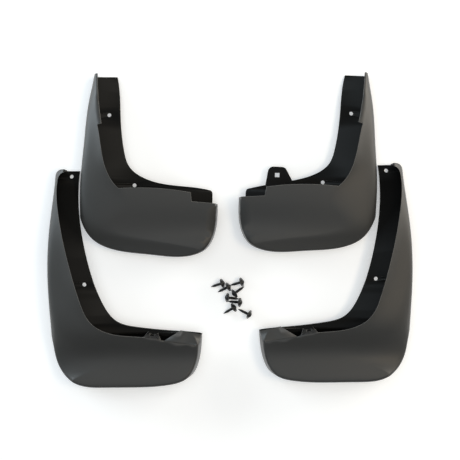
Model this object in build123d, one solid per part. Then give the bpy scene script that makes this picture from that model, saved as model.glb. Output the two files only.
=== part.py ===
from build123d import *
import math
import os

# A set of four moulded mud flaps for the front and rear wheel arches of a
# family car, with the eight screws that hold them on.  Millimetres, +Z up.
# Every flap lies tyre side down.  The left-hand flaps are drawn in a frame of
# their own, x across the car towards the inboard end of the foot and y along
# the arm, and the right-hand ones are their mirror images.

os.makedirs("parts", exist_ok=True)

# ---- sizes shared by the four mouldings
WALL = 2.6              # moulded wall
RIM_ROUND = 4.0         # round along the top edge of the foot's rim
BODY_RISE = 90.0        # construction height, above every crown
BEYOND = 40.0           # how far construction solids pass the outline
SKIRT = 6.0             # upright foot of the outer wall, above the mounting face
HOLE_D = 5.5            # screw hole
ROUND_SHARE = 0.5523    # handle of a Bezier quarter that follows an ellipse

# ---- front flap
FRONT_LENGTH = 261.0    # arm tip to bottom rim
FRONT_WIDTH = 199.0
FRONT_SAG = 12.0        # the mounting face follows the arch by this much
FRONT_DRAFT = 8.0
FRONT_WEB_Y = 73.0      # upper face of the web that closes the pocket
FRONT_HOLES = [(41.5, 203.2), (78.0, 102.1)]
# y, outer wall x, ridge x, ridge z, inboard z, slope at the ridge in degrees
FRONT_SECTIONS = [
    (-20.0, 0.0, 80.0, 12.0, 7.0, 0.0),
    (30.0, 0.0, 74.0, 27.0, 20.0, 0.0),
    (67.0, 0.0, 66.0, 35.0, 27.0, 0.0),
    (97.0, 0.4, 60.0, 40.0, 32.0, 12.0),
    (125.0, 2.3, 43.0, 41.5, 36.0, 28.0),
    (161.0, 6.0, 34.5, 40.0, 40.0, 36.0),
    (197.0, 9.2, 28.0, 35.5, 35.5, 38.0),
    (221.0, 12.4, 25.4, 31.6, 31.6, 38.0),
    (245.0, 17.0, 25.0, 27.6, 27.6, 38.0),
    (271.0, 22.5, 27.0, 24.0, 24.0, 38.0),
]
FRONT_FOOT = [(-5.0, 75.0), (1.5, 52.0), (18.0, 24.5), (45.0, 10.5), (100.0, 2.6), (152.0, 0.0),
              (180.5, 10.0), (195.0, 35.0), (199.0, 66.0), (199.5, 90.0)]
FRONT_RIDGE = [(58.0, 96.6), (42.0, 119.0), (32.0, 161.0), (27.4, 187.0)]
FRONT_LIP = [(33.6, 188.5), (30.0, 212.0), (26.6, 259.0)]
FRONT_STEP = [(58.0, 96.6), (115.0, 96.8), (159.5, 91.2)]
FRONT_SHOULDER = [(161.0, 78.5), (188.0, 76.2), (240.0, 71.0)]
FLANGE_ALONG_ARM = [(87.0, 115.0), (70.5, 129.0), (63.0, 151.0), (58.0, 194.5), (52.3, 259.0)]
FRONT_LEFT_FLANGE = [(190.0, 94.0), (158.0, 99.7), (114.0, 105.2)] + FLANGE_ALONG_ARM
FRONT_RIGHT_FLANGE = [(188.0, 87.0), (160.0, 94.5), (119.0, 103.5)] + FLANGE_ALONG_ARM
FLANGE_ROUND = 5.0      # rounded corner of a flange at the foot's inboard end

# ---- ear of the front right flap
EAR_BASE = (116.5, 160.5)
EAR_TOP = (133.0, 156.5)
EAR_REACH = 121.5
EAR_ROUND = 8.0
EAR_HOLE = (6.4, 5.9)
EAR_HOLE_AT = (143.9, 109.6)

# ---- rear flap
REAR_LENGTH = 310.0
REAR_WIDTH = 225.0
REAR_SAG = 20.0
REAR_DRAFT = 12.0
REAR_TIP = (21.5, 11.5)     # centre x and radius of the arm's rounded outer corner
REAR_HOLES = [(32.2, 300.7), (53.0, 145.7)]
REAR_SECTIONS = [
    (-20.0, 6.0, 88.0, 12.0, 7.0, 0.0),
    (35.0, 6.5, 86.0, 31.0, 25.0, 0.0),
    (75.0, 6.0, 80.0, 43.5, 36.0, 0.0),
    (100.0, 4.4, 63.5, 49.0, 42.0, 12.0),
    (130.0, 2.4, 51.5, 50.0, 46.0, 28.0),
    (173.0, 1.0, 40.0, 48.0, 48.0, 36.0),
    (214.0, 2.3, 29.5, 43.5, 43.5, 38.0),
    (255.0, 6.1, 22.6, 37.0, 37.0, 38.0),
    (293.0, 9.5, 21.6, 30.5, 30.5, 38.0),
    (328.0, 10.5, 36.0, 25.0, 25.0, 38.0),
]
REAR_FOOT = [(0.0, 90.0), (9.0, 57.0), (14.0, 35.0), (29.4, 13.3), (49.0, 2.9), (84.0, 0.0),
             (130.0, 0.2), (178.0, 3.2), (206.3, 13.3), (216.7, 30.0), (224.6, 73.0), (226.4, 90.0)]
REAR_RIDGE = [(76.0, 84.5), (61.0, 98.6), (49.5, 124.0), (37.1, 163.0), (24.2, 213.0),
              (16.8, 252.0), (14.6, 290.0), (17.6, 301.0), (25.0, 305.5)]
REAR_STEP = [(76.0, 84.5), (97.0, 76.6), (133.0, 73.0), (168.0, 67.0)]
REAR_SHOULDER = [(213.0, 60.9), (213.0, 76.0), (280.0, 76.0)]
REAR_FLANGE = [(222.0, 76.0), (179.0, 79.8), (127.0, 85.0), (99.0, 93.0), (78.0, 120.0),
               (61.5, 163.0), (50.7, 206.5), (43.0, 265.0), (45.0, 318.0)]
REAR_WEB_Y = 58.0       # upper face of the web that closes the pocket
LUG_TOP = [(138.5, 71.3), (163.0, 67.9)]
LUG_FOOT = [(144.0, 77.5), (157.5, 76.2)]
LUG_HOLE = (7.0, 8.0)
LUG_HOLE_DOWN = 13.5     # from the panel's edge, down the slope of the lug
END_TOP = [(168.0, 66.5), (232.0, 58.5)]
END_FOOT = [(190.0, 79.0), (232.0, 73.7)]
END_WALL_X = 208.0      # beyond this the end wall is cut off level with the gusset

# ---- screw
HEAD_D = 13.5
HEAD_FLANGE = 1.2
DOME_D = 9.6
DOME_H = 3.0
SHANK_D = 4.2
SHANK_L = 18.5
POINT_L = 6.0

# ---- places on the ground, as (x, y, turn about z)
FRONT_LEFT_AT = (-216.0, -37.9, 0.0)
FRONT_RIGHT_AT = (205.5, -37.3, -2.7)
REAR_LEFT_AT = (-261.8, -223.6, 0.0)
REAR_RIGHT_AT = (263.4, -214.0, 1.2)
# head centre and the direction in which the point lies
SCREWS = [
    (-12.6, -76.9, 199.0),
    (-3.8, -82.2, 208.0),
    (15.4, -75.3, 197.0),
    (5.8, -91.3, 34.0),
    (-4.2, -97.6, -8.0),
    (12.8, -104.4, 177.0),
    (4.1, -112.2, 212.0),
    (26.2, -121.7, 155.0),
]


def arch_radius(length, sag):
    return (length ** 2 / 4 + sag ** 2) / (2 * sag)


def arch_height(y, length, sag):
    radius = arch_radius(length, sag)
    return sag - radius + math.sqrt(radius ** 2 - (y - length / 2) ** 2)


def arch(length, sag, width, raised):
    """The round body of the wheel arch that the mounting face follows."""
    radius = arch_radius(length, sag)
    core = Cylinder(radius + raised, width + 4 * BEYOND)
    return Pos(width / 2, length / 2, sag - radius) * Rot(0, 90, 0) * core


def section(cut, length, sag, reach, inset):
    """One closed section across the flap: outer wall, ridge and crown."""
    y, x_out, x_ridge, z_ridge, z_far, lean = cut
    low = arch_height(y, length, sag) + SKIRT
    x0 = x_out + inset
    x1 = max(x_ridge, x0 + WALL)
    z1 = z_ridge - inset
    rise = ROUND_SHARE * (z1 - low)
    run = ROUND_SHARE * (x1 - x0)
    drop = run * math.tan(math.radians(lean))
    side = Edge.make_bezier((x0, y, low), (x0, y, low + rise), (x1 - run, y, z1 - drop), (x1, y, z1))
    crown = Edge.make_bezier((x1, y, z1), ((x1 + reach) / 2, y, z1), (reach, y, z_far - inset))
    right = Edge.make_line((reach, y, z_far - inset), (reach, y, -BEYOND))
    base = Edge.make_line((reach, y, -BEYOND), (x0, y, -BEYOND))
    left = Edge.make_line((x0, y, -BEYOND), (x0, y, low))
    return Wire([side, crown, right, base, left])


def envelope(sections, length, sag, width, inset):
    reach = width + BEYOND
    return Solid.make_loft([section(cut, length, sag, reach, inset) for cut in sections])


def inward(points, inset):
    """The same outline points, each moved square to the curve."""
    moved = []
    for i, (x, y) in enumerate(points):
        before = points[max(i - 1, 0)]
        after = points[min(i + 1, len(points) - 1)]
        dx = after[0] - before[0]
        dy = after[1] - before[1]
        size = math.hypot(dx, dy)
        moved.append((x - inset * dy / size, y + inset * dx / size))
    return moved


def foot_block(foot, length, draft, inset):
    """Block whose lower edge and leaning inboard end bound the foot."""
    turn = min(foot, key=lambda p: p[1])[0]
    lean = BODY_RISE * math.tan(math.radians(draft)) / (foot[-1][0] - turn)
    low = inward(foot, inset)
    high = [(x - lean * max(x - turn, 0), y) for x, y in low]
    wires = []
    for z, curve in ((-WALL, low), (BODY_RISE, high)):
        top = length + BEYOND
        rest = Polyline(curve[-1], (curve[-1][0], top), (-BEYOND, top), (-BEYOND, curve[0][1]), curve[0])
        loop = Spline(*curve).edges() + rest.edges()
        wires.append(Pos(0, 0, z) * Wire(loop))
    return Solid.make_loft(wires, ruled=True)


def flange(edge, web_y, length, sag, width):
    """Plate on the mounting face, from the web to the given inboard edge."""
    first = edge[0]
    last = edge[-1]
    low = web_y - WALL / 2
    rest = Polyline(last, (-BEYOND, last[1]), (-BEYOND, low), (first[0], low), first)
    block = prism(Spline(*edge).edges() + rest.edges())
    corner = [e for e in block.edges().filter_by(Axis.Z) if (e.center() - Vector(*first)).X ** 2 < 1]
    corner = [e for e in corner if abs(e.center().Y - first[1]) < 1]
    plate = arch(length, sag, width, WALL) - arch(length, sag, width, 0)
    return plate & fillet(corner, FLANGE_ROUND)


def prism(edges):
    face = Face(Wire(edges))
    return Pos(0, 0, -BEYOND) * extrude(face, amount=BODY_RISE + BEYOND, dir=(0, 0, 1))


def panel_region(ridge, lip, step, shoulder, end):
    """Plan of the skin: outer wall up to the ridge, panel up to its top edge."""
    edge = Spline(*ridge).edges() + Spline(*step).edges()
    tip = ridge[-1]
    if lip:
        edge += Line(tip, lip[0]).edges() + Spline(*lip).edges()
        tip = lip[-1]
    loop = [tip, (tip[0], end), (-BEYOND, end), (-BEYOND, -BEYOND)]
    loop += [(shoulder[-1][0], -BEYOND)] + shoulder[::-1] + [step[-1]]
    return prism(edge + Polyline(*loop).edges())


def tip_block(tip, length, width, inset):
    """Block that ends at the arm's tip, with the arm's rounded outer corner."""
    x, corner = tip
    y = length - corner
    turn = corner - inset
    half = turn * math.sqrt(0.5)
    arc = ThreePointArc((x - turn, y), (x - half, y + half), (x, y + turn))
    far = width + BEYOND
    rest = Polyline((x, y + turn), (far, y + turn), (far, -BEYOND), (-BEYOND, -BEYOND), (-BEYOND, y),
                    (x - turn, y))
    return prism(arc.edges() + rest.edges())


def body(cuts, foot, draft, length, sag, width, tip, inset):
    """Solid body of the flap, drawn in from its outer surface by the inset."""
    block = envelope(cuts, length, sag, width, inset) & foot_block(foot, length, draft, inset)
    if tip:
        block = block & tip_block(tip, length, width, inset)
    return block


def moulding(cuts, foot, draft, length, sag, width, tip, plates, region):
    """Thin skin over the foot and the arm, with the plates that close it."""
    sizes = (length, sag, width)
    outer = body(cuts, foot, draft, *sizes, tip, 0)
    rim = [e for e in outer.edges() if 0 < e.center().Z and e.center().Y < length / 6]
    outer = fillet(rim, RIM_ROUND)
    skin = (outer - body(cuts, foot, draft, *sizes, tip, WALL)) & region
    middle = body(cuts, foot, draft, *sizes, tip, WALL / 2)
    for plate in plates:
        skin += plate & middle
    return skin - arch(*sizes, 0)


def web(y, width):
    """Upright wall below the pocket, from the mounting face to the panel."""
    span = width + 2 * BEYOND
    return Pos(width / 2, y - WALL / 2, 0) * Box(span, WALL, 2 * BODY_RISE)


def crown_height(x, y, cuts, width):
    """Height of the outer skin at a place on the foot."""
    below = max(cut for cut in cuts if cut[0] <= y)
    above = min(cut for cut in cuts if cut[0] > y)
    share = (y - below[0]) / (above[0] - below[0])
    ridge_x, ridge_z, far_z = (b + share * (a - b) for b, a in zip(below[2:5], above[2:5]))
    along = max(x - ridge_x, 0) / (width + BEYOND - ridge_x)
    return ridge_z - (ridge_z - far_z) * along ** 2


def slope(top, foot, length, sag, cuts, width):
    """Leaning plate from the panel's top edge down to the mounting face."""
    corners = [(x, y, crown_height(x, y, cuts, width) - WALL / 2) for x, y in top]
    feet = [(x, y, arch_height(y, length, sag) + WALL / 2) for x, y in foot]
    a, b = (Vector(*corner) for corner in corners)
    c, d = (Vector(*corner) for corner in feet)
    lean = Plane(origin=a, x_dir=b - a, z_dir=(b - a).cross(c - a))
    flat = [lean.to_local_coords(p) for p in (a, b, d, c)]
    outline = make_face(Polyline(*[(p.X, p.Y) for p in flat], close=True))
    return lean, extrude(lean * outline, amount=WALL / 2, both=True)


def holes(places):
    drill = Cylinder(HOLE_D / 2, 2 * BODY_RISE)
    return [Pos(x, y, 0) * drill for x, y in places]


def ear(length, sag, width):
    """Tab in the plane of the mounting face with a square hole."""
    base = FRONT_WEB_Y + BEYOND / 2
    outline = Polyline((EAR_BASE[0], base), (EAR_TOP[0], EAR_REACH), (EAR_TOP[1], EAR_REACH),
                       (EAR_BASE[1], base), close=True)
    tab = extrude(make_face(outline), amount=BODY_RISE)
    corners = [e for e in tab.edges().filter_by(Axis.Z) if e.center().Y > EAR_REACH - 1]
    tab = fillet(corners, EAR_ROUND)
    plate = arch(length, sag, width, WALL) - arch(length, sag, width, 0)
    window = Pos(EAR_HOLE_AT[0], EAR_HOLE_AT[1], 0) * Box(*EAR_HOLE, 2 * BODY_RISE)
    return (plate & tab) - window


def front_flap(edge, with_ear):
    sizes = (FRONT_LENGTH, FRONT_SAG, FRONT_WIDTH)
    region = panel_region(FRONT_RIDGE, FRONT_LIP, FRONT_STEP, FRONT_SHOULDER, FRONT_LENGTH)
    plates = [flange(edge, FRONT_WEB_Y, *sizes), web(FRONT_WEB_Y, FRONT_WIDTH)]
    part = moulding(FRONT_SECTIONS, FRONT_FOOT, FRONT_DRAFT, *sizes, None, plates, region)
    if with_ear:
        part += ear(*sizes)
    return part - holes(FRONT_HOLES)


def rear_flap():
    sizes = (REAR_LENGTH, REAR_SAG, REAR_WIDTH)
    plates = [flange(REAR_FLANGE, REAR_WEB_Y, *sizes), web(REAR_WEB_Y, REAR_WIDTH)]
    lug_plane, lug = slope(LUG_TOP, LUG_FOOT, REAR_LENGTH, REAR_SAG, REAR_SECTIONS, REAR_WIDTH)
    end_plane, end = slope(END_TOP, END_FOOT, REAR_LENGTH, REAR_SAG, REAR_SECTIONS, REAR_WIDTH)
    plates += [lug, end]
    above = Pos(END_WALL_X - END_TOP[0][0] + BODY_RISE, 0, WALL / 2 + BODY_RISE) * Box(*[2 * BODY_RISE] * 3)
    region = panel_region(REAR_RIDGE, [], REAR_STEP, REAR_SHOULDER, REAR_LENGTH + WALL) - end_plane * above
    part = moulding(REAR_SECTIONS, REAR_FOOT, REAR_DRAFT, *sizes, REAR_TIP, plates, region)
    middle = math.dist(*LUG_TOP) / 2
    window = RectangleRounded(*LUG_HOLE, WALL / 2)
    slot = extrude(Pos(middle, LUG_HOLE_DOWN, 0) * window, amount=2 * WALL, both=True)
    part -= lug_plane * slot
    return part - holes(REAR_HOLES)


def screw():
    """Washer-head sheet-metal screw along X, with its point at the origin."""
    head = SHANK_L + HEAD_FLANGE
    half = Polyline((0, 0), (POINT_L, SHANK_D / 2), (SHANK_L, SHANK_D / 2), (SHANK_L, HEAD_D / 2),
                    (head, HEAD_D / 2), (head, DOME_D / 2))
    ball = ((DOME_D / 2) ** 2 + DOME_H ** 2) / (2 * DOME_H)
    half_angle = math.asin(DOME_D / 2 / ball) / 2
    middle = (head + DOME_H - ball * (1 - math.cos(half_angle)), ball * math.sin(half_angle))
    dome = ThreePointArc((head, DOME_D / 2), middle, (head + DOME_H, 0))
    axis = Line((head + DOME_H, 0), (0, 0))
    face = Face(Wire(half.edges() + dome.edges() + axis.edges()))
    return Solid.revolve(face, 360, Axis.X)


def lying(place):
    """Where a screw comes to rest on the rim of its head and its point."""
    x, y, turn = place
    tilt = math.degrees(math.atan2(HEAD_D / 2, SHANK_L))
    reach = SHANK_L * math.cos(math.radians(tilt))
    tip_x = x + reach * math.cos(math.radians(turn))
    tip_y = y + reach * math.sin(math.radians(turn))
    return Pos(tip_x, tip_y, 0) * Rot(0, 0, turn + 180) * Rot(0, -tilt, 0)


def place(part, at):
    x, y, turn = at
    return Pos(x, y, 0) * Rot(0, 0, turn) * part


def build():
    front = front_flap(FRONT_LEFT_FLANGE, False)
    front_ear = front_flap(FRONT_RIGHT_FLANGE, True)
    rear = rear_flap()
    nodes = {
        "front_left_flap": place(front, FRONT_LEFT_AT),
        "front_right_flap": place(mirror(front_ear, Plane.YZ), FRONT_RIGHT_AT),
        "rear_left_flap": place(rear, REAR_LEFT_AT),
        "rear_right_flap": place(mirror(rear, Plane.YZ), REAR_RIGHT_AT),
    }
    for number, at in enumerate(SCREWS, start=1):
        nodes[f"screw_{number}"] = lying(at) * screw()
    box = Compound(list(nodes.values())).bounding_box()
    centre = box.center()
    home = Pos(-centre.X, -centre.Y, -box.min.Z)
    return {name: home * part for name, part in nodes.items()}


for name, part in build().items():
    export_step(part, f"parts/{name}.step")
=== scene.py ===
# %% [markdown]
# # A set of moulded mud flaps
#
# The set is four L-shaped mud flaps in black plastic, two for the front and
# two for the rear wheel arches, and the eight black screws that hold them on.
# They lie on a white table and are seen from straight above.  The CAD model
# gives every piece its true shape and place.  This lesson gives the pieces
# their moulded look, makes the screws with their rolled threads and cross
# recesses, and sets up the table, the lamps and the camera.

# %% Load the frame
import math

import bmesh
import bpy
from mathutils import Matrix, Vector


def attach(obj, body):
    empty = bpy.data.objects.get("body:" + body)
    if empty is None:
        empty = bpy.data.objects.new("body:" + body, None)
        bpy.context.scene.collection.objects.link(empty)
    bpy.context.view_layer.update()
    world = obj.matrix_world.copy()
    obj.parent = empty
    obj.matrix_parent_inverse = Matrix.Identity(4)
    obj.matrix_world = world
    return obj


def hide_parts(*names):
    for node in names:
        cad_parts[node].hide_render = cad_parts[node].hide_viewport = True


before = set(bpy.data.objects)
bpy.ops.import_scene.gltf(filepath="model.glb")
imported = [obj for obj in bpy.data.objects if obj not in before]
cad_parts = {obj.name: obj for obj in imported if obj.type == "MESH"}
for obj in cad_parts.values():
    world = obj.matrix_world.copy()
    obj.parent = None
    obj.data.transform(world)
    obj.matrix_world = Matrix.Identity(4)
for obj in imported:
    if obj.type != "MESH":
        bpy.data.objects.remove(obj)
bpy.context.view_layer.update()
flap_names = [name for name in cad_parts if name.endswith("_flap")]
screw_names = [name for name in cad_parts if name.startswith("screw_")]
print("flaps:", flap_names, "screws:", len(screw_names))

# %% [markdown]
# ## The camera
#
# The set is shown from straight above.  A wide lens close by would make the
# tall outer walls lean out a lot, and a telephoto lens far away would show no
# depth at all.  A camera 1.4 m over the table leaves just a little of that
# lean.  A camera looks along its own -Z axis, so with no rotation it looks
# straight down, and its top edge points along +Y, to the tips of the arms.

# %% Camera
camera_height = 1.40
camera_across = 0.0001
camera_along = -0.0005
view_width = 0.667
camera_data = bpy.data.cameras.new("camera")
camera_data.sensor_fit = "HORIZONTAL"
camera_data.angle = 2 * math.atan(view_width / 2 / camera_height)
camera = bpy.data.objects.new("camera", camera_data)
camera.location = (camera_across, camera_along, camera_height)
bpy.context.collection.objects.link(camera)
bpy.context.scene.camera = camera
print("field of view in degrees:", round(math.degrees(camera_data.angle), 2))

# %% [markdown]
# ## The table
#
# A product table is matt and white.  It should look pure white to the camera
# and in reflections, and still take the flaps' soft shadows.  A stronger lamp
# would give that white, but it would wash out the black plastic as well.  So
# the surface is a plain white diffuse one with some light of its own: a
# little where the camera looks at it, which leaves the shadows in place, and
# a full white where a reflection does.

# %% Table
table_half = 3.0
table_tone = 0.88
glow_to_camera = 0.30


def empty_material(name):
    material = bpy.data.materials.new(name)
    material.use_nodes = True
    material.node_tree.nodes.clear()
    return material, material.node_tree.nodes, material.node_tree.links


def table_finish():
    material, nodes, links = empty_material("table_white")
    paper = nodes.new("ShaderNodeBsdfDiffuse")
    paper.inputs["Color"].default_value = (table_tone, table_tone, table_tone, 1)
    ray = nodes.new("ShaderNodeLightPath")
    share = nodes.new("ShaderNodeMath")
    share.operation = "MULTIPLY"
    share.inputs[1].default_value = glow_to_camera
    seen = nodes.new("ShaderNodeMath")
    seen.operation = "MAXIMUM"
    glow = nodes.new("ShaderNodeEmission")
    both = nodes.new("ShaderNodeAddShader")
    out = nodes.new("ShaderNodeOutputMaterial")
    links.new(ray.outputs["Is Camera Ray"], share.inputs[0])
    links.new(share.outputs[0], seen.inputs[0])
    links.new(ray.outputs["Is Glossy Ray"], seen.inputs[1])
    links.new(seen.outputs[0], glow.inputs["Strength"])
    links.new(paper.outputs[0], both.inputs[0])
    links.new(glow.outputs[0], both.inputs[1])
    links.new(both.outputs[0], out.inputs["Surface"])
    return material


table_mesh = bpy.data.meshes.new("table")
table_corners = [(-table_half, -table_half, 0), (table_half, -table_half, 0),
                 (table_half, table_half, 0), (-table_half, table_half, 0)]
table_mesh.from_pydata(table_corners, [], [(0, 1, 2, 3)])
table_mesh.materials.append(table_finish())
table = bpy.data.objects.new("table", table_mesh)
bpy.context.collection.objects.link(table)
print("side of the table in metres:", 2 * table_half)

# %% [markdown]
# ## The lamps
#
# Black plastic is drawn by what it reflects, so each lamp is placed for its
# reflection.  One small lamp would give hard bright spots, and a bright world
# alone would show no form.  Here the level outer faces mirror a wide soft
# lamp overhead, and a long lamp that stands low at each side draws a light
# strip down the steep outer walls.  The left lamp is a little cool and the
# right one a little warm.  A small warm key lamp at the right gives the
# shadows their direction.

# %% Lamps
def soft_lamp(name, place, aim, size, power, colour):
    data = bpy.data.lights.new(name, "AREA")
    data.shape = "RECTANGLE"
    data.size, data.size_y = size
    data.energy = power
    data.color = colour
    lamp = bpy.data.objects.new(name, data)
    lamp.location = place
    lamp.rotation_euler = (Vector(aim) - Vector(place)).to_track_quat("-Z", "Y").to_euler()
    bpy.context.collection.objects.link(lamp)
    print(name, "power:", power)


soft_lamp("lamp_left", (-1.6, 0.9, 0.35), (0, 0.1, 0), (1.2, 0.5), 30, (0.82, 0.93, 1.0))
soft_lamp("lamp_right", (1.6, 0.9, 0.35), (0, 0.1, 0), (1.2, 0.5), 28, (1.0, 0.93, 0.82))
soft_lamp("lamp_top", (0.0, 0.0, 2.2), (0, 0, 0), (3.2, 3.2), 27, (0.92, 0.97, 1.0))
soft_lamp("lamp_key", (1.1, 0.0, 1.7), (0, 0, 0), (0.5, 0.5), 7, (1.0, 0.78, 0.50))

# %% Room
room_strength = 0.30
room = bpy.data.worlds.new("room")
room.use_nodes = True
room_light = room.node_tree.nodes["Background"]
room_light.inputs["Color"].default_value = (0.86, 0.94, 1.0, 1)
room_light.inputs["Strength"].default_value = room_strength
bpy.context.scene.world = room
bpy.context.scene.view_settings.view_transform = "Standard"
print("strength of the room's light:", room_strength)

# %% [markdown]
# ## Building blocks for a finish
#
# Every finish here is worked out from noise on Object coordinates, which stay
# with a piece wherever it goes and need no picture file.  Three small blocks
# are enough: a noise, a colour that runs between two tones along it, and a
# range that turns it into a roughness or a mask.

# %% Building blocks
def noise(nodes, links, scale, detail):
    place = nodes.new("ShaderNodeTexCoord")
    speckle = nodes.new("ShaderNodeTexNoise")
    speckle.inputs["Scale"].default_value = scale
    speckle.inputs["Detail"].default_value = detail
    links.new(place.outputs["Object"], speckle.inputs["Vector"])
    return speckle.outputs["Fac"]


def two_tones(nodes, links, factor, dark, pale, ends):
    """A colour that runs from dark to pale while the factor runs between the ends."""
    ramp = nodes.new("ShaderNodeValToRGB")
    for element, position, colour in zip(ramp.color_ramp.elements, ends, (dark, pale)):
        element.position = position
        element.color = (*colour, 1)
    links.new(factor, ramp.inputs["Fac"])
    return ramp.outputs["Color"]


def ranged(nodes, links, value, given, wanted):
    """A value moved from one range into another and held inside it."""
    node = nodes.new("ShaderNodeMapRange")
    node.inputs["From Min"].default_value, node.inputs["From Max"].default_value = given
    node.inputs["To Min"].default_value, node.inputs["To Max"].default_value = wanted
    links.new(value, node.inputs["Value"])
    return node.outputs["Result"]


# %% [markdown]
# ## Painted edge highlights
#
# A moulded edge is never sharp, so it catches a thin line of light.  The
# edges could be bevelled in the mesh, but the CAD shape should stay as it is.
# A Bevel node rounds only the shading: its normal leans away from the flat
# one near an edge, and the amount by which it leans is the mask along which
# a paler colour is painted in as a highlight line.

# %% Painted edge highlights
edge_round = 0.0012
# The paler colour that is painted in along the edges as a highlight line.
painted_highlight_tone = (0.180, 0.175, 0.165, 1)


def rounded_normal(nodes):
    edge = nodes.new("ShaderNodeBevel")
    edge.samples = 6
    edge.inputs["Radius"].default_value = edge_round
    return edge.outputs["Normal"]


# Mixes the paler colour into the tone near the edges: a painted highlight.
def painted_edge_highlight(nodes, links, tone, rounded):
    flat = nodes.new("ShaderNodeNewGeometry")
    same = nodes.new("ShaderNodeVectorMath")
    same.operation = "DOT_PRODUCT"
    links.new(rounded, same.inputs[0])
    links.new(flat.outputs["Normal"], same.inputs[1])
    mixed = nodes.new("ShaderNodeMix")
    mixed.data_type = "RGBA"
    links.new(ranged(nodes, links, same.outputs["Value"], (0.99, 0.85), (0, 1)), mixed.inputs["Factor"])
    # The Mix node's colours are its sockets 6 and 7, and its result is output 2.
    links.new(tone, mixed.inputs[6])
    mixed.inputs[7].default_value = painted_highlight_tone
    return mixed.outputs[2]


print("edges look rounded by mm:", edge_round * 1000)

# %% [markdown]
# ## Moulded black plastic
#
# The flaps are injection-moulded in black polypropylene, and one mould gives
# two finishes.  The half that forms the outer face is etched, so that face
# has a fine grain and a broad, soft sheen.  The other half is only polished,
# so the channel, the flange and the hollow underneath have hardly any grain.
# Those faces also get a darker tone than the outer one, and a weaker sheen
# than polished plastic really has.  That darker tone and weaker sheen are
# painted shade, because the channels have to come out nearly black, as they
# are in the photograph.  Two materials share one recipe: a slow noise gives
# the cloudy flow marks and the rubbed patches, and a fast one gives the grain
# as a small bump.  Numbers that are the same all over sit on the shader's own
# sockets, because an exporter drops them when they come through a link.

# %% Plastic
def plastic_finish(name, dark, pale, gloss, roughness, grain_scale, grain_depth):
    material, nodes, links = empty_material(name)
    shader = nodes.new("ShaderNodeBsdfPrincipled")
    shader.inputs["Specular IOR Level"].default_value = gloss
    out = nodes.new("ShaderNodeOutputMaterial")
    links.new(shader.outputs[0], out.inputs["Surface"])

    cloud = noise(nodes, links, 9.0, 4.0)
    tone = two_tones(nodes, links, cloud, dark, pale, (0.35, 0.70))
    rounded = rounded_normal(nodes)
    # The base colour carries the painted highlight along the edges.
    links.new(painted_edge_highlight(nodes, links, tone, rounded), shader.inputs["Base Color"])
    links.new(ranged(nodes, links, cloud, (0.3, 0.7), roughness), shader.inputs["Roughness"])

    bump = nodes.new("ShaderNodeBump")
    bump.inputs["Strength"].default_value = 0.5
    bump.inputs["Distance"].default_value = grain_depth
    links.new(noise(nodes, links, grain_scale, 2.0), bump.inputs["Height"])
    links.new(rounded, bump.inputs["Normal"])
    links.new(bump.outputs["Normal"], shader.inputs["Normal"])
    print(name, "nodes:", len(nodes))
    return material


# The polished finish is smoother, and its darker tone and weaker sheen are painted shade for the channel, the
# flange and the hollow underneath.
polished_plastic_with_painted_shade = plastic_finish(
    "polished_black_plastic_painted_shade", dark=(0.0045, 0.0044, 0.0042), pale=(0.0062, 0.0061, 0.0058),
    gloss=0.07, roughness=(0.50, 0.58), grain_scale=700.0, grain_depth=0.00001)
grained_plastic = plastic_finish(
    "grained_black_plastic", dark=(0.0180, 0.0172, 0.0155), pale=(0.0225, 0.0215, 0.0192),
    gloss=0.55, roughness=(0.47, 0.56), grain_scale=1500.0, grain_depth=0.00004)

# %% [markdown]
# ## The flaps
#
# A CAD node's mesh is loose triangles, so its broad curves would show facets,
# and nothing says which face belongs to which half of the mould.  The faces
# could be picked by hand, but the choice would be lost with the next CAD
# model.  So a copy is merged at its shared corners, and the sharp edges, where
# two faces meet at more than a set angle, divide it into smooth patches.  The
# largest patch that looks upwards is the outer face.  The smaller ones that
# look upwards near the top, such as the gusset, belong to it.

# %% Patches
sharp_angle = math.radians(35)
top_level = 0.026


def smooth_patches(shape):
    """Numbers every face by the smooth patch that it belongs to."""
    patch_of = {}
    count = 0
    for start in shape.faces:
        if start in patch_of:
            continue
        patch_of[start] = count
        queue = [start]
        while queue:
            face = queue.pop()
            for edge in face.edges:
                if len(edge.link_faces) != 2 or edge.calc_face_angle() > sharp_angle:
                    continue
                for other in edge.link_faces:
                    if other not in patch_of:
                        patch_of[other] = count
                        queue.append(other)
        count += 1
    return patch_of, count


def outer_patches(patch_of, count):
    """The largest patch that looks upwards, and the others that do so near the top."""
    area = [0.0] * count
    upward = [0.0] * count
    height = [0.0] * count
    for face, patch in patch_of.items():
        area[patch] += face.calc_area()
        upward[patch] += face.calc_area() * face.normal.z
        height[patch] += face.calc_area() * face.calc_center_median().z
    facing_up = [patch for patch in range(count) if upward[patch] > 0.3 * area[patch]]
    largest = max(facing_up, key=lambda patch: area[patch])
    return [patch for patch in facing_up if patch == largest or height[patch] > top_level * area[patch]]


print("a patch ends at an angle of", round(math.degrees(sharp_angle)), "degrees")

# %% [markdown]
# The copy takes both materials first, because clearing a mesh's materials
# sets every face back to the first one.  Then it is shaded smooth, and kept
# sharp at the same edges that bound the patches.

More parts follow.
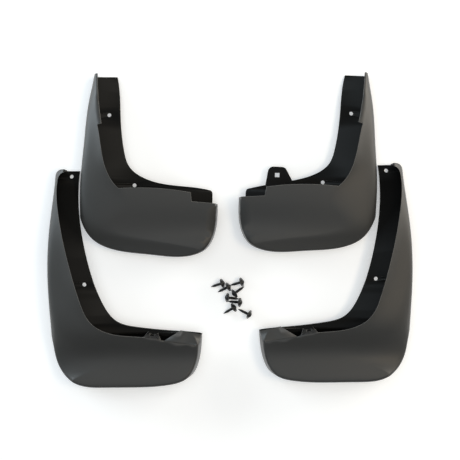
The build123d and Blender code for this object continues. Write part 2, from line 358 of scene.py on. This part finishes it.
# %% Flaps
def moulded_copy(node, name, finishes):
    mesh = bpy.data.objects[node].data.copy()
    mesh.name = name
    mesh.materials.clear()
    for finish in finishes:
        mesh.materials.append(finish)
    shape = bmesh.new()
    shape.from_mesh(mesh)
    bmesh.ops.remove_doubles(shape, verts=shape.verts, dist=1e-6)
    patch_of, count = smooth_patches(shape)
    outer = outer_patches(patch_of, count)
    # Faces outside the outer patches take the first finish, the polished one with its painted shade.
    for face, patch in patch_of.items():
        face.material_index = 1 if patch in outer else 0
    shape.to_mesh(mesh)
    shape.free()
    mesh.shade_smooth()
    mesh.set_sharp_from_angle(angle=sharp_angle)
    piece = bpy.data.objects.new(name, mesh)
    bpy.context.collection.objects.link(piece)
    print(name, "triangles:", len(mesh.polygons), "patches:", count, "outer:", len(outer))
    return piece


for flap_name in flap_names:
    flap = moulded_copy(flap_name, flap_name + "_moulding", [polished_plastic_with_painted_shade, grained_plastic])
    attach(flap, "root")
    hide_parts(flap_name)

# %% [markdown]
# ## Where the screws lie
#
# Each CAD screw is a plain turned blank that lies on the rim of its head and
# on its point.  The two corners of its mesh that are farthest apart are the
# point and the top of the dome, so they give the screw's axis, and most of
# its corners are at the head, so the point is the one with more of them far
# away.  Reading the axis from the mesh keeps the detailed screw in place
# even when the CAD model changes.

# %% Screw places
def screw_axis(node):
    """The point, the direction from point to head, the length and the head's radius."""
    corners = [Vector(corner) for corner in {tuple(v.co) for v in bpy.data.objects[node].data.vertices}]
    one_end = max(corners, key=lambda corner: (corner - corners[0]).length)
    other_end = max(corners, key=lambda corner: (corner - one_end).length)
    point, dome = sorted((one_end, other_end), reverse=True,
                         key=lambda end: sum((corner - end).length for corner in corners))
    along = (dome - point).normalized()
    radius = max((corner - point - along * along.dot(corner - point)).length for corner in corners)
    return point, along, (dome - point).length, radius


seats = [screw_axis(name) for name in screw_names]
screw_length = sum(seat[2] for seat in seats) / len(seats)
head_radius = sum(seat[3] for seat in seats) / len(seats)
print("screw length and head radius in mm:", round(screw_length * 1000, 2), round(head_radius * 1000, 2))

# %% [markdown]
# ## The screw blank
#
# A washer-head screw is cold-headed from wire: a thin core, a wide thin
# washer with a rounded rim, and a low domed head.  It is round all over, so
# its outline is drawn once as a half profile and spun about the axis.

# %% Screw sizes
washer_thickness = 0.0012
rim_round = 0.0004
neck_fillet = 0.0005
dome_height = 0.0030
dome_radius = 0.0048
dome_step = 0.0002
core_radius = 0.00172
point_length = 0.0060
spin_steps = 48
shank_length = screw_length - washer_thickness - dome_height
print("shank length in mm:", round(shank_length * 1000, 2))

# %% Screw blank
def arc_points(centre, radius, first, last, steps):
    angles = [math.radians(first + (last - first) * step / steps) for step in range(steps + 1)]
    return [(centre[0] + radius * math.cos(a), centre[1] + radius * math.sin(a)) for a in angles]


def screw_profile():
    top = shank_length + washer_thickness
    ball = (dome_radius ** 2 + dome_height ** 2) / (2 * dome_height)
    half_angle = math.degrees(math.asin(dome_radius / ball))
    profile = [(0, 0), (point_length * 0.5, core_radius * 0.62), (point_length, core_radius)]
    profile += [(shank_length - neck_fillet, core_radius)]
    profile += arc_points((shank_length - neck_fillet, core_radius + neck_fillet), neck_fillet, -90, 0, 4)[1:]
    profile += arc_points((shank_length + rim_round, head_radius - rim_round), rim_round, 180, 90, 4)
    profile += arc_points((top - rim_round, head_radius - rim_round), rim_round, 90, 0, 4)
    profile += [(top, dome_radius + dome_step)]
    profile += arc_points((top + dome_height - ball, 0), ball, half_angle, 0, 14)
    return profile


def spun_blank():
    shape = bmesh.new()
    corners = [shape.verts.new((x, radius, 0)) for x, radius in screw_profile()]
    outline = [shape.edges.new(pair) for pair in zip(corners, corners[1:])]
    bmesh.ops.spin(shape, geom=corners + outline, cent=(0, 0, 0), axis=(1, 0, 0), angle=2 * math.pi,
                   steps=spin_steps, use_merge=True)
    bmesh.ops.remove_doubles(shape, verts=shape.verts, dist=1e-7)
    bmesh.ops.recalc_face_normals(shape, faces=shape.faces)
    return shape


def linked_object(name, shape):
    mesh = bpy.data.meshes.new(name)
    shape.to_mesh(mesh)
    shape.free()
    item = bpy.data.objects.new(name, mesh)
    bpy.context.collection.objects.link(item)
    return item


blank = linked_object("screw_blank", spun_blank())
print("blank corners:", len(blank.data.vertices))

# %% [markdown]
# ## The cross recess
#
# The cross for the driver is pressed into the finished head by a tapered
# punch.  The same is done here: a punch in the shape of a cross is cut out of
# the blank with a Boolean, which gives the recess sloping walls and a floor.

# %% Cross recess
arm_reach = 0.0027
arm_width = 0.0011
recess_depth = 0.0024
punch_above = 0.001
punch_top_share = 1.15
punch_tip_share = 0.35


def recess_cross():
    """A cross-shaped punch whose arms narrow towards its tip."""
    half = arm_width / 2
    far = arm_reach
    plus = [(far, -half), (far, half), (half, half), (half, far), (-half, far), (-half, half),
            (-far, half), (-far, -half), (-half, -half), (-half, -far), (half, -far), (half, -half)]
    ends = ((screw_length + punch_above, punch_top_share), (screw_length - recess_depth, punch_tip_share))
    shape = bmesh.new()
    rings = [[shape.verts.new((x, y * share, z * share)) for y, z in plus] for x, share in ends]
    shape.faces.new(rings[0])
    shape.faces.new(rings[1][::-1])
    for step in range(len(plus)):
        after = (step + 1) % len(plus)
        shape.faces.new((rings[0][step], rings[1][step], rings[1][after], rings[0][after]))
    bmesh.ops.recalc_face_normals(shape, faces=shape.faces)
    return shape


punch = linked_object("recess_punch", recess_cross())
press = blank.modifiers.new("recess", "BOOLEAN")
press.operation = "DIFFERENCE"
press.solver = "EXACT"
press.object = punch
print("punch corners:", len(punch.data.vertices))

# %% [markdown]
# ## The rolled thread
#
# The thread is rolled onto the core by flat dies, which raise a sharp ridge
# that winds from the washer to the point and shrinks as the point narrows.
# It follows a path that is a simple rule, so Geometry Nodes make it: a line
# is divided into many steps, each step is moved onto the helix, and a
# three-cornered profile is swept along it.  Its sizes are named inputs, so
# another screw only needs other numbers.

# %% Tree helpers
def new_tree(name, sockets):
    tree = bpy.data.node_groups.new(name, "GeometryNodeTree")
    tree.interface.new_socket("Geometry", in_out="INPUT", socket_type="NodeSocketGeometry")
    for label, kind in sockets:
        tree.interface.new_socket(label, in_out="INPUT", socket_type=kind)
    tree.interface.new_socket("Geometry", in_out="OUTPUT", socket_type="NodeSocketGeometry")
    return tree, tree.nodes, tree.links, tree.nodes.new("NodeGroupInput"), tree.nodes.new("NodeGroupOutput")


def maths(nodes, links, operation, first, second=None):
    """One Math node, fed by sockets or plain numbers."""
    node = nodes.new("ShaderNodeMath")
    node.operation = operation
    for slot, value in zip(node.inputs, (first, second)):
        if value is None:
            continue
        if isinstance(value, (int, float)):
            slot.default_value = value
        else:
            links.new(value, slot)
    return node.outputs[0]


def coated_mesh(nodes, links, geometry, finish, made):
    """Ends a tree: one plain mesh with its finish."""
    plain = nodes.new("GeometryNodeRealizeInstances")
    links.new(geometry, plain.inputs["Geometry"])
    coated = nodes.new("GeometryNodeSetMaterial")
    links.new(plain.outputs["Geometry"], coated.inputs["Geometry"])
    links.new(finish, coated.inputs["Material"])
    links.new(coated.outputs["Geometry"], made.inputs["Geometry"])


def give_inputs(modifier, values):
    """Sets a tree's named inputs by the identifier of each socket."""
    for socket in modifier.node_group.interface.items_tree:
        if socket.in_out == "INPUT" and socket.name in values:
            modifier[socket.identifier] = values[socket.name]


# %% [markdown]
# The helix comes first.  A step's place along the screw gives its angle, and
# the core's radius there, which grows over the point and then stays the same.
# The curve's normals are turned outwards, so that one corner of the profile
# always looks away from the axis.

# %% Helix
steps_per_turn = 24


def helix(nodes, links, given):
    """The thread's path on the core, and its share of the full height."""
    line = nodes.new("GeometryNodeCurvePrimitiveLine")
    steps = nodes.new("GeometryNodeResampleCurve")
    turns = maths(nodes, links, "DIVIDE", given.outputs["Length"], given.outputs["Pitch"])
    links.new(line.outputs["Curve"], steps.inputs["Curve"])
    links.new(maths(nodes, links, "MULTIPLY", turns, steps_per_turn), steps.inputs["Count"])

    along = nodes.new("GeometryNodeSplineParameter")
    x = maths(nodes, links, "MULTIPLY", along.outputs["Factor"], given.outputs["Length"])
    turned = maths(nodes, links, "DIVIDE", x, given.outputs["Pitch"])
    angle = maths(nodes, links, "MULTIPLY", turned, 2 * math.pi)
    risen = maths(nodes, links, "DIVIDE", x, given.outputs["Point length"])
    share = maths(nodes, links, "MINIMUM", risen, 1.0)
    radius = maths(nodes, links, "MULTIPLY", share, given.outputs["Core radius"])
    cosine = maths(nodes, links, "COSINE", angle)
    sine = maths(nodes, links, "SINE", angle)

    spot = nodes.new("ShaderNodeCombineXYZ")
    links.new(x, spot.inputs["X"])
    links.new(maths(nodes, links, "MULTIPLY", radius, cosine), spot.inputs["Y"])
    links.new(maths(nodes, links, "MULTIPLY", radius, sine), spot.inputs["Z"])
    wind = nodes.new("GeometryNodeSetPosition")
    links.new(steps.outputs["Curve"], wind.inputs["Geometry"])
    links.new(spot.outputs[0], wind.inputs["Position"])

    outwards = nodes.new("ShaderNodeCombineXYZ")
    links.new(cosine, outwards.inputs["Y"])
    links.new(sine, outwards.inputs["Z"])
    stand = nodes.new("GeometryNodeSetCurveNormal")
    stand.mode = "FREE"
    links.new(wind.outputs["Geometry"], stand.inputs["Curve"])
    links.new(outwards.outputs[0], stand.inputs["Normal"])
    return stand.outputs["Curve"], share


# %% [markdown]
# Then the profile, a circle of only three corners, is swept along the helix.
# It is scaled by the share, so the ridge fades out on the point.  The tree
# joins it to the blank and ends in one coated mesh.

# %% Thread tree
least_share = 0.25


def thread_tree():
    sizes = ("Length", "Point length", "Core radius", "Crest", "Pitch")
    sockets = [(size, "NodeSocketFloat") for size in sizes] + [("Finish", "NodeSocketMaterial")]
    tree, nodes, links, given, made = new_tree("rolled_thread", sockets)
    path, share = helix(nodes, links, given)
    ridge = nodes.new("GeometryNodeCurvePrimitiveCircle")
    ridge.inputs["Resolution"].default_value = 3
    links.new(given.outputs["Crest"], ridge.inputs["Radius"])
    sweep = nodes.new("GeometryNodeCurveToMesh")
    sweep.inputs["Fill Caps"].default_value = True
    links.new(path, sweep.inputs["Curve"])
    links.new(ridge.outputs["Curve"], sweep.inputs["Profile Curve"])
    links.new(maths(nodes, links, "MAXIMUM", share, least_share), sweep.inputs["Scale"])
    join = nodes.new("GeometryNodeJoinGeometry")
    links.new(sweep.outputs["Mesh"], join.inputs["Geometry"])
    links.new(given.outputs["Geometry"], join.inputs["Geometry"])
    coated_mesh(nodes, links, join.outputs["Geometry"], given.outputs["Finish"], made)
    print("nodes in the thread's tree:", len(nodes))
    return tree


# %% [markdown]
# ## Black coated steel
#
# The screws are steel with a thin black coat over phosphate.  The coat is
# smoother than the plastic and lets a trace of metal through where the
# threads and the recess have been rubbed, so the colour follows a fine noise
# with a few paler flecks, and the same noise varies the roughness.

# %% Screw coat
metal_share = 0.35


def screw_coat():
    material, nodes, links = empty_material("black_screw_coat")
    shader = nodes.new("ShaderNodeBsdfPrincipled")
    shader.inputs["Metallic"].default_value = metal_share
    shader.inputs["Specular IOR Level"].default_value = 0.5
    out = nodes.new("ShaderNodeOutputMaterial")
    links.new(shader.outputs[0], out.inputs["Surface"])
    flecks = noise(nodes, links, 900.0, 4.0)
    tone = two_tones(nodes, links, flecks, (0.006, 0.006, 0.006), (0.030, 0.030, 0.029), (0.55, 0.78))
    links.new(tone, shader.inputs["Base Color"])
    links.new(ranged(nodes, links, flecks, (0.3, 0.7), (0.30, 0.46)), shader.inputs["Roughness"])
    print("nodes in the screws' coat:", len(nodes))
    return material


coat = screw_coat()

# %% [markdown]
# ## One finished screw
#
# The thread's tree is a modifier of the blank, after the Boolean, and takes
# its sizes through its named inputs.  The evaluated result becomes a mesh of
# its own, smooth where it is round and sharp at the edges.

# %% Threaded screw
thread_pitch = 0.0018
thread_crest = 0.00068
thread_end_gap = 0.0006
screw_sharp_angle = math.radians(40)


def evaluated_copy(item, name):
    """The result of an object's modifiers as a plain mesh in a new object."""
    bpy.context.view_layer.update()
    ready = item.evaluated_get(bpy.context.evaluated_depsgraph_get())
    result = bpy.data.objects.new(name, bpy.data.meshes.new_from_object(ready))
    bpy.context.collection.objects.link(result)
    print("triangles in", name + ":", sum(len(face.vertices) - 2 for face in result.data.polygons))
    return result


thread = blank.modifiers.new("thread", "NODES")
thread.node_group = thread_tree()
give_inputs(thread, {"Length": shank_length - thread_end_gap, "Point length": point_length,
                     "Core radius": core_radius, "Crest": thread_crest, "Pitch": thread_pitch,
                     "Finish": coat})
one_screw = evaluated_copy(blank, "one_screw")
one_screw.data.shade_smooth()
one_screw.data.set_sharp_from_angle(angle=screw_sharp_angle)

# %% [markdown]
# ## The heap of screws
#
# The eight screws are one shape in eight places, so the mesh is instanced on
# eight points instead of being modelled eight times.  Each point carries its
# screw's turn as an attribute.  Realize Instances then makes them one plain
# mesh, because an exporter drops instances.

# %% Heap tree
def heap_tree():
    sockets = [("Screw", "NodeSocketObject"), ("Finish", "NodeSocketMaterial")]
    tree, nodes, links, given, made = new_tree("screw_heap", sockets)
    screw = nodes.new("GeometryNodeObjectInfo")
    links.new(given.outputs["Screw"], screw.inputs["Object"])
    turn = nodes.new("GeometryNodeInputNamedAttribute")
    turn.data_type = "FLOAT_VECTOR"
    turn.inputs["Name"].default_value = "turn"
    rotation = nodes.new("FunctionNodeEulerToRotation")
    links.new(turn.outputs["Attribute"], rotation.inputs[0])
    spread = nodes.new("GeometryNodeInstanceOnPoints")
    links.new(given.outputs["Geometry"], spread.inputs["Points"])
    links.new(screw.outputs["Geometry"], spread.inputs["Instance"])
    links.new(rotation.outputs[0], spread.inputs["Rotation"])
    coated_mesh(nodes, links, spread.outputs["Instances"], given.outputs["Finish"], made)
    print("nodes in the heap's tree:", len(nodes))
    return tree


# %% [markdown]
# A screw's own X axis runs from its point to its head, so its turn puts that
# axis on the one measured from the CAD screw.  Each screw is also rolled a
# little further about its axis than the one before, so that the recesses and
# the threads don't line up.

# %% Screw seats
roll_step = 37


def lying_turn(along, roll):
    """Euler turn of a screw that points along a direction and is rolled about it."""
    side = Vector((0, 0, 1)).cross(along).normalized()
    turn = Matrix((along, side, along.cross(side))).transposed()
    return (turn @ Matrix.Rotation(math.radians(roll), 3, "X")).to_euler()


seat_mesh = bpy.data.meshes.new("screw_seats")
seat_mesh.from_pydata([seat[0] for seat in seats], [], [])
turns = seat_mesh.attributes.new("turn", "FLOAT_VECTOR", "POINT")
for number, seat in enumerate(seats):
    turns.data[number].vector = lying_turn(seat[1], roll_step * number)
print("screw seats:", len(seat_mesh.vertices))

# %% Screws
heap = bpy.data.objects.new("screw_heap_seats", seat_mesh)
bpy.context.collection.objects.link(heap)
spread = heap.modifiers.new("spread", "NODES")
spread.node_group = heap_tree()
give_inputs(spread, {"Screw": one_screw, "Finish": coat})
screws = evaluated_copy(heap, "screws")
for helper in (blank, punch, one_screw, heap):
    bpy.data.objects.remove(helper)
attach(screws, "root")
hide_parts(*screw_names)
